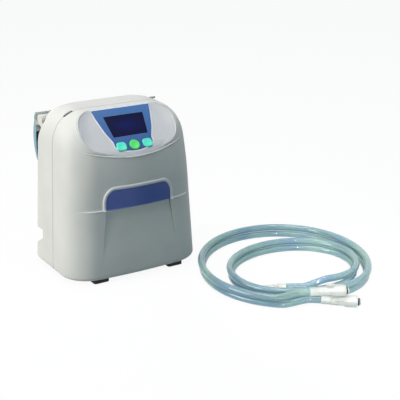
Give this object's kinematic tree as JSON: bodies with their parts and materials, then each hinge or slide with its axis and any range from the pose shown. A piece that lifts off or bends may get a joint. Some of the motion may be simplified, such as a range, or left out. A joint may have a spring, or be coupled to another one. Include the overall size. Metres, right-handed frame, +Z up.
{
  "type": "compression therapy pump",
  "caption": "Table-top air pump with a sloped oval control panel, display, soft keys, folding bed hook at the back and a coiled pair of air hoses.",
  "frame": {"origin": "centre of the footprint of the pump's bounding box, on the floor under the feet", "axes": "+X to the right seen from the front, front faces -Y, +Z up"},
  "size_m": [0.3544, 0.3338, 0.2],
  "materials": {
    "housing": "fine textured moulded plastic, warm light grey",
    "film": "printed polyester film, blue",
    "lens": "dark blue clear window",
    "key_aqua": "translucent aqua key",
    "key_green": "translucent green key",
    "badge": "plain dark blue plate",
    "hook": "dark teal moulded plastic",
    "rubber": "black rubber",
    "steel": "zinc plated steel",
    "alloy": "die-cast aluminium",
    "motor": "dark motor can",
    "white_plastic": "natural white plastic",
    "dark_plastic": "black plastic",
    "board": "green circuit board",
    "coil_case": "brown varnished coil",
    "battery": "blue shrink sleeve",
    "hose": "blue-green clear soft tube",
    "clear": "milky clear plastic",
    "foam_strap": "woven strap"
  },
  "bodies": {
    "housing": {"front_shell": "housing", "rear_shell": "housing", "port_panel": "housing", "keypad_overlay": "film", "display_lens": "lens", "lcd_module": "dark_plastic", "display_board": "board", "tact_switches": "dark_plastic", "buzzer": "dark_plastic", "display_screws": "steel", "badge": "badge", "hook_pins": "steel", "foot_front_left": "rubber", "foot_front_right": "rubber", "foot_rear_left": "rubber", "foot_rear_right": "rubber", "housing_screws": "steel", "base_plate": "alloy", "chassis_screws": "steel", "pump_frame": "alloy", "motor_case": "motor", "diaphragm": "rubber", "pump_head": "alloy", "head_screws": "steel", "air_reservoir": "white_plastic", "valve_block": "dark_plastic", "solenoid_left": "coil_case", "solenoid_right": "coil_case", "pump_tube": "hose", "port_tube_left": "hose", "port_tube_right": "hose", "port_left": "white_plastic", "port_right": "white_plastic", "port_nuts": "alloy", "port_seals": "rubber", "power_inlet": "dark_plastic", "main_board": "board", "board_components": "dark_plastic", "pressure_sensors": "white_plastic", "board_screws": "steel", "power_supply": "dark_plastic", "battery_pack": "battery", "battery_strap": "foam_strap", "hose_left": "hose", "hose_right": "hose", "cuff_connector_left": "clear", "cuff_connector_right": "clear", "connector_seals": "rubber", "pump_fitting_left": "clear", "pump_fitting_right": "clear"},
    "button_left": {"button_left": "key_aqua"},
    "button_power": {"button_power": "key_green"},
    "button_right": {"button_right": "key_aqua"},
    "hook": {"hook": "hook"},
    "motor_rotor": {"motor_rotor": "steel"},
    "piston_rod": {"piston_rod": "white_plastic"}
  },
  "joints": [
    {"name": "button_left_press", "type": "slide", "parent": "housing", "child": "button_left", "axis": [0, 0.7314, -0.682], "range_m": [0, 0.001], "stiffness_N_per_m": 900, "springref_m": -0.0012},
    {"name": "button_power_press", "type": "slide", "parent": "housing", "child": "button_power", "axis": [0, 0.7314, -0.682], "range_m": [0, 0.001], "stiffness_N_per_m": 900, "springref_m": -0.0012},
    {"name": "button_right_press", "type": "slide", "parent": "housing", "child": "button_right", "axis": [0, 0.7314, -0.682], "range_m": [0, 0.001], "stiffness_N_per_m": 900, "springref_m": -0.0012},
    {"name": "hook_swing", "type": "hinge", "parent": "housing", "child": "hook", "pos_m": [0, 0.044, 0.1815], "axis": [1, 0, 0], "range_deg": [0, 92]},
    {"name": "motor_spin", "type": "hinge", "parent": "housing", "child": "motor_rotor", "pos_m": [0, -0.016, 0.04], "axis": [1, 0, 0], "continuous": true},
    {"name": "piston_stroke", "type": "slide", "parent": "housing", "child": "piston_rod", "axis": [0, 0, 1], "range_m": [-0.001, 0.001]}
  ]
}
